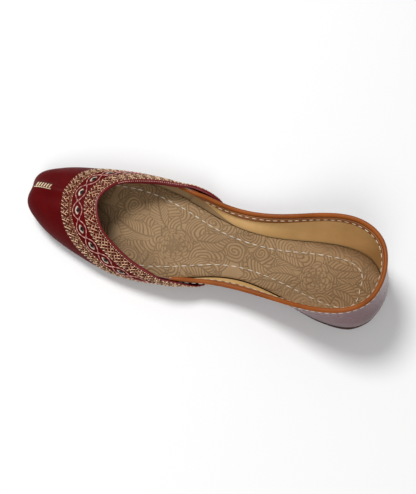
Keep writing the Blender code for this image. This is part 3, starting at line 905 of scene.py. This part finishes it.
class Tooling:
    """Grooves pressed into the insole: shapes in millimetres laid one over another, the first on top."""

    def __init__(self, x, y):
        self.x, self.y = x, y
        self.groove = np.zeros_like(x)
        self.free = np.ones(x.shape, dtype=bool)

    def local(self, cx, cy, turn):
        c, s = math.cos(math.radians(turn)), math.sin(math.radians(turn))
        dx, dy = self.x - cx, self.y - cy
        return c * dx + s * dy, c * dy - s * dx

    def polar(self, cx, cy, turn):
        u, w = self.local(cx, cy, turn)
        return np.hypot(u, w), np.arctan2(w, u)

    def lay(self, inside, lines):
        """inside is the distance to the shape's outline, above 0 within it."""
        here = self.free & (inside > 0)
        outline = np.exp(-(((inside - 0.25) / 0.36) ** 2))
        self.groove[here] = np.maximum(lines * smoothstep(inside, 0.3, 1.1), outline)[here]
        self.free[here] = False

    def fan(self, cx, cy, r, turn, spread, spacing):
        """Nested arcs with a lobed edge."""
        distance, angle = self.polar(cx, cy, turn)
        lobed = r * (1.0 + 0.018 * np.cos(8.0 * angle))
        inside = np.minimum(lobed - distance, (math.radians(spread) - np.abs(angle)) * distance)
        self.lay(inside, wave(r - distance, spacing))

    def swirl(self, cx, cy, r, turn, hand, spacing):
        distance, angle = self.polar(cx, cy, turn)
        self.lay(r - distance, wave(distance + hand * spacing * angle / (2 * math.pi), spacing))

    def leaf(self, cx, cy, length, width, turn, bend, spacing):
        """A bent leaf with a midrib and slanted veins."""
        u, w = self.local(cx, cy, turn)
        share = np.clip(u / length, 0.0, 1.0)
        w = w - bend * 4.0 * share * (1.0 - share)
        scallop = 1.0 + 0.1 * np.abs(np.sin(math.pi * u / (2 * spacing)))
        half = width * np.sin(math.pi * share**0.75) * scallop
        inside = np.where((u > 0) & (u < length), half - np.abs(w), -1.0)
        self.lay(inside, np.maximum(wave(u - 0.95 * np.abs(w), spacing), np.exp(-((w / 0.5) ** 2))))

    def flower(self, cx, cy, r, petals, turn, spacing):
        """A seeded eye with two rings of petals."""
        distance, angle = self.polar(cx, cy, turn)
        inside, lines = np.full(distance.shape, -1.0), np.zeros(distance.shape)
        for low, high, shift in ((0.66, 1.0, 0.0), (0.38, 0.72, 0.5)):
            part = (petals * angle / (2 * math.pi) + shift) % 1.0 - 0.5
            tip = r * (high - (high - low) * 0.45 * (1.0 - np.sqrt(np.cos(math.pi * part))))
            side = (0.5 - np.abs(part)) * 2 * math.pi * distance / petals
            here = (distance < tip) & (distance > r * low * 0.8)
            edge = np.exp(-((np.minimum(side, tip - distance) / 0.5) ** 2))
            lines = np.where(here, np.maximum(edge, 0.8 * wave(tip - distance, spacing)), lines)
            inside = np.maximum(inside, np.where(distance < tip, tip - distance, -1.0))
        seeds = wave(distance, 2.1) * wave(angle * np.round(distance / 2.1) * 3.0, 2 * math.pi)
        lines = np.where(distance < r * 0.36, 0.75 - 0.75 * np.clip(seeds * 2.0, 0.0, 1.0), lines)
        self.lay(inside, lines)


# Millimetres and degrees. A flower: x, y, radius, petals, turn, spacing
# A leaf: x, y, length, width, turn, bend, spacing. A swirl: x, y, radius, turn, hand, spacing
MAIN_FLOWERS = [
    ((20, 6, 13, 11, 10, 2.3), [
        (34, 3, 34, 7, -14, 4, 2.5), (12, 18, 30, 6.5, 172, 3, 2.4),
        (6, -2, 30, 6.5, 205, -4, 2.4), (28, -6, 30, 6, -62, 4, 2.3),
    ]),
    ((-80, 3, 12, 9, 25, 2.2), [
        (-68, 6, 28, 6, 18, -4, 2.3), (-70, -3, 26, 5.5, -20, 4, 2.3),
        (-92, 6, 22, 6, 155, 3, 2.3), (-92, -2, 22, 6, 205, -3, 2.3),
    ]),
]
MAIN_SWIRLS = [(-40, -4, 6, 0, 1, 2.2), (56, -16, 8, 0, -1, 2.3), (48, 22, 7, 0, 1, 2.3)]


def tool_pattern(x, y):
    """A scrolling flower and leaf pattern over the whole insole, as depth of groove from 0 to 1."""
    place = np.stack([x, y, 0 * x], -1)
    tools = Tooling(x + 2.2 * wave_noise(place, 15.0, 41), y + 2.2 * wave_noise(place, 15.0, 42))
    for flower, leaves in MAIN_FLOWERS:
        tools.flower(*flower)
        for leaf in leaves:
            tools.leaf(*leaf)
    for swirl in MAIN_SWIRLS:
        tools.swirl(*swirl)
    rng = np.random.default_rng(12)
    spots = [(cx, cy) for cx in np.arange(-124.0, 128.0, 9.5) for cy in np.arange(-36.0, 37.0, 9.5)]
    for k in rng.permutation(len(spots)):
        cx, cy = spots[k] + rng.uniform(-3.2, 3.2, 2)
        kind, turn = rng.random(), rng.uniform(0.0, 360.0)
        if kind < 0.62:
            tools.fan(cx, cy, rng.uniform(9.0, 13.5), turn, rng.uniform(75.0, 120.0), rng.uniform(2.0, 2.6))
        elif kind < 0.7:
            tools.swirl(cx, cy, rng.uniform(6.0, 8.5), turn, rng.choice([-1, 1]), 2.3)
        else:
            length, width, bend = rng.uniform(16.0, 24.0), rng.uniform(4.5, 6.0), rng.uniform(-4.0, 4.0)
            tools.leaf(cx, cy, length, width, turn, bend, 2.2)
    return tools.groove


def make_insole(material):
    """Leather board whose top is pressed with the flower pattern."""
    s = np.linspace(0.0, TOE, 1400)
    x, half = sole_edge(s, -(wall_at(s, -0.1, 0.1) + 0.0004))
    order = np.argsort(x)
    low, high = x[order[0]], x[order[-1]]
    hidden = low + 0.8 * (high - low)
    stations = np.append(np.linspace(low, hidden, 600), np.linspace(hidden, high, 60)[1:])
    widths = np.interp(stations, x[order], half[order])[:, None]
    across = np.linspace(-1.0, 1.0, 147)
    px, wx, wy = over_middle(np.repeat(stations[:, None], len(across), 1), widths * across)
    edge_in = widths * (1.0 - np.abs(across))
    calm = (1.0 - smoothstep(edge_in, 0.006, 0.012)) * (1.0 - smoothstep(px - low, 0.05, 0.09))
    groove = tool_pattern(wx / MM, wy / MM) * (1.0 - 0.45 * calm)
    plane = np.stack([wx, wy, 0 * wx], -1)
    cushion = 0.0003 * smoothstep(edge_in, 0.0, 0.006) + wave_noise(plane, 0.02, 21) * 0.00008
    z = sole_top(px) + GAP + INSOLE_THICKNESS - 0.0002 + cushion - GROOVE_DEPTH * groove
    z = z - 0.0005 * (1.0 - smoothstep(edge_in, 0.0, 0.0009))
    top = np.stack([wx, wy, z], -1)
    rows, columns = top.shape[:2]
    bottom = top[:, [0, -1]]
    bottom[..., 2] = (sole_top(px) + GAP)[:, [0, -1]]
    points = np.vstack([top.reshape(-1, 3), bottom.reshape(-1, 3)])
    faces = grid_faces(rows, columns)
    base = rows * columns
    for i in range(rows - 1):
        a, b = i * columns, (i + 1) * columns
        c, d = base + i * 2, base + (i + 1) * 2
        faces.append((a, c, d, b))
        faces.append((b + columns - 1, d + 1, c + 1, a + columns - 1))
        faces.append((c, c + 1, d + 1, d))
    last = (rows - 1) * columns
    faces.append((*range(columns), base + 1, base))
    faces.append((*range(last + columns - 1, last - 1, -1), base + 2 * rows - 2, base + 2 * rows - 1))
    speckle = wave_noise(plane, 0.0021, 23)
    tint = np.clip(0.56 * groove + 0.07 * speckle + 0.05, 0.0, 1.0)
    tint = np.append(tint.ravel(), np.zeros(2 * rows))
    make("insole_leather", points, [face[::-1] for face in faces], material, tint=tint)


def insole_leather():
    """The board's leather, darker where it is pressed."""
    material, tree, shader = nodes_of("insole_leather_look")
    stops = [(0.3, (0.305, 0.187, 0.091)), (0.7, (0.385, 0.247, 0.126))]
    mottle = ramp(tree, noise(tree, 45.0, 6.0), stops)
    colour = mix(tree, tint_of(tree), mottle, (0.09, 0.048, 0.02))
    link(colour, shader.inputs["Base Color"])
    fine = bump(shader, grain(tree, 1100.0), 0.25, 0.00008)
    bump(shader, noise(tree, 320.0, 3.0), 0.3, 0.0003, fine)
    put(shader, {"Roughness": 0.62, "Specular IOR Level": 0.25})
    return material


# Seams


SEAM_FRONT = 15.5
SEAM_STATIONS = (0, 2, 4, 6, 7, 8, 9, 10.5, 12, 14, 16, 19)
SEAM_INSETS = (15, 12.5, 10, 9, 8.5, 8.5, 8, 6.5, 6, 6, 7, 9)  # from the wall's face, in millimetres


def seam(name, points, normals, sizes, material, seed):
    """A running stitch along a line of points. Sizes in millimetres: pitch, length, width, height."""
    pitch, length, width, height = (k * MM for k in sizes)
    lengths = lengths_along(points)
    t = np.arange(0.5 * pitch, lengths[-1] - length, pitch)
    rng = np.random.default_rng(seed)
    t = t + rng.normal(0.0, 0.04 * pitch, len(t))
    starts, ends = sample(points, lengths, t), sample(points, lengths, t + length)
    normal = unit(sample(normals, lengths, t + length / 2))
    lay_stitches(name, starts, ends, normal, width, height, material, rng.normal(0.7, 0.15, len(t)))


def insole_seams(thread):
    s = np.linspace(0.0, TOE, 500)
    s, sides = around(s[s < SEAM_FRONT][::-1])
    x, half = sole_edge(s, -(QUARTER_WALL + np.interp(s, SEAM_STATIONS, SEAM_INSETS) * MM))
    along, x, y = over_middle(x, -sides * half)
    points = np.column_stack([x, y, sole_top(along) + GAP + INSOLE_THICKNESS + 0.0001])
    up = np.tile([0.0, 0.0, 1.0], (len(points), 1))
    seam("insole_seam", points, up, (5.7, 3.6, 0.74, 0.42), thread, 31)


def collar_seams(inner_thread, outer_thread):
    stations, sides = around(np.linspace(0.0, QUARTER_FRONT - 0.3, 300)[::-1])
    height = rib_height(stations)
    for name, depth, out, ahead, sizes, thread in (
        ("flap_seam", 0.0028, -QUARTER_WALL - 0.00116, -0.001, (5.0, 3.1, 0.52, 0.36), inner_thread),
        ("edge_seam", 0.0023, 0.0003, 0.001, (4.5, 2.9, 0.75, 0.36), outer_thread),
    ):
        v = 1.0 - depth / height
        points = shell(stations, v, -sides, out)
        normals = unit(shell(stations, v, -sides, out + ahead) - points)
        seam(name, points, normals, sizes, thread, 33)


def rim_beads(thread):
    """The bead line on the far side, where it climbs on to the rolled rim."""
    stations = np.linspace(9.9, 14.2, 120)
    sides = -np.ones(len(stations))
    top = vamp_top(stations)
    n, up = (k[:, 3] for k in edge_profile(stations, sides, vamp_lift(stations, top, sides)))
    up = up + RIM_REACH * past_quarter(stations, 0.3, 1.3)
    points = shell(stations, top, sides, n, up)
    normals = unit(shell(stations, top, sides, n + 0.0002, up + 0.001) - points)
    seam("rim_beads", points, normals, (1.45, 0.85, 0.62, 0.45), thread, 35)


# Light, camera and floor


SHOE_MIDDLE = (0.0, 0.0, 0.02)
CAMERA_PLACE = (-0.06269, 0.19663, 0.54602)
CAMERA_TARGET = (-0.00421, 0.00527, 0.02)
CAMERA_ROLL = -0.96
SENSOR, FOCAL_PIXELS, PHOTO_HEIGHT = 36.0, 837.0, 494.0


def aim(made, place, target, roll=0.0):
    """Stand a lamp or the camera at a place and turn it to a target, rolled by some degrees."""
    turn = (Vector(target) - Vector(place)).to_track_quat("-Z", "Y")
    turn = turn @ Quaternion((0.0, 0.0, 1.0), math.radians(roll))
    made.matrix_world = Matrix.LocRotScale(Vector(place), turn, None)


def area_light(name, place, size, power):
    """A round lamp that faces the shoe."""
    data = bpy.data.lights.new(name, "AREA")
    data.shape = "DISK"
    data.size = size
    data.energy = power
    aim(add(name, data), place, SHOE_MIDDLE)


def studio():
    scene = bpy.context.scene
    scene.view_settings.view_transform = "Standard"
    world = bpy.data.worlds.new("studio")
    scene.world = world
    world.use_nodes = True
    put(world.node_tree.nodes["Background"], {"Color": (1.0, 1.0, 1.0, 1.0), "Strength": 0.27})
    area_light("key", (0.72, -0.5, 1.45), size=0.6, power=20.5)
    area_light("fill", (-0.15, 1.15, 1.2), size=0.9, power=9.0)
    white = plain("floor_white", (0.93, 0.93, 0.93), 0.9, 0.1)
    side = 3.0
    corners = [(-side, -side, 0.0), (side, -side, 0.0), (side, side, 0.0), (-side, side, 0.0)]
    make("floor", corners, [(0, 1, 2, 3)], white, smooth=False)
    data = bpy.data.cameras.new("camera")
    data.sensor_width = SENSOR
    data.lens = FOCAL_PIXELS * SENSOR / PHOTO_HEIGHT
    scene.camera = add("camera", data)
    aim(scene.camera, CAMERA_PLACE, CAMERA_TARGET, CAMERA_ROLL)


SOLIDS = ("outsole", "insole", "upper", "vamp", "collar_binding")


def main():
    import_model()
    studio()
    red = leather("red_leather", (0.08, 0.0016, 0.0022), (0.108, 0.0024, 0.0032), 0.5, gloss=0.05)
    # The rim's leather is the vamp's red made brighter as a painted highlight, and glossier.
    rim = leather("rim_leather_painted_highlight", (0.13, 0.006, 0.009), (0.17, 0.009, 0.013), 0.32, gloss=0.3)
    wine = leather("wine_leather", (0.102, 0.022, 0.034), (0.142, 0.033, 0.048), 0.3, gloss=0.6, coat=0.35)
    tan = leather("tan_leather", (0.22, 0.054, 0.007), (0.315, 0.083, 0.012), 0.42, gloss=0.14)
    rust = leather("flap_leather", (0.22, 0.08, 0.026), (0.3, 0.115, 0.038), 0.5, gloss=0.3)
    khaki = leather("lining_leather", (0.6, 0.37, 0.145), (0.7, 0.44, 0.19), 0.62, gloss=0.15)
    hide = leather("sole_hide", (0.05, 0.024, 0.02), (0.085, 0.042, 0.034), 0.65, gloss=0.2)
    # The gold thread's light end is a painted highlight colour and its dark end a painted shade colour. The
    # stitches' tints choose between them.
    gold = thread_material("gold_thread", (0.11, 0.022, 0.011), (1.0, 0.7, 0.44), 0.35, 0.34)
    dull = thread_material("dull_gold_thread", (0.17, 0.055, 0.022), (0.36, 0.16, 0.065), 0.2, 0.5)
    # The rose thread's light end stands for the cord's painted highlights.
    rose = thread_material("rose_thread", (0.3, 0.05, 0.04), (0.86, 0.5, 0.42), 0.2, 0.4)
    cream = thread_material("cream_thread", (0.66, 0.48, 0.27), (1.0, 0.84, 0.58), 0.1, 0.45)
    brown = thread_material("brown_thread", (0.05, 0.012, 0.008), (0.12, 0.034, 0.02), 0.1, 0.5)
    white = thread_material("white_thread", (0.48, 0.42, 0.33), (0.8, 0.74, 0.64), 0.0, 0.6)
    linen = thread_material("linen_thread", (0.46, 0.34, 0.22), (0.76, 0.63, 0.47), 0.0, 0.6)
    pale = plain("pale_plate", (0.52, 0.42, 0.31), 0.4, 0.5)
    mirror = plain("dark_mirror", (0.006, 0.006, 0.006), 0.25, 0.2)

    skin, edge, normals = make_vamp(red, rim)
    board = insole_leather()
    two_tone(khaki, (0.345, 0.217, 0.108))
    make_upper(wine, khaki)
    make_binding(tan, rust)
    make_sole(hide)
    make_insole(board)
    tree = BVHTree.FromObject(skin, bpy.context.evaluated_depsgraph_get())
    field = Field(tree, edge, normals, reach=30 * MM, step=0.6 * MM)
    make_gold(field, gold, dull)
    make_eyes(field, rose, pale, mirror)
    make_toe_strip(tree, cream, brown)
    bpy.data.objects.remove(skin)
    insole_seams(white)
    collar_seams(linen, white)
    rim_beads(rose)

    slots = {
        "vamp_leather": ("vamp", "vamp_leather"),
        "quarter_leather": ("upper", "upper_leather"),
        "collar_roll": ("collar_binding", "binding_leather"),
        "sole_leather": ("outsole", "sole_leather"),
        "insole_leather": ("insole", "insole_leather"),
    }
    for piece in list(bpy.data.objects):
        if piece.type != "MESH" or piece.name == "floor" or piece.name in SOLIDS:
            continue
        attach(piece, "root")
        if piece.name in slots:
            node, slot = slots[piece.name]
            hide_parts(node)


main()
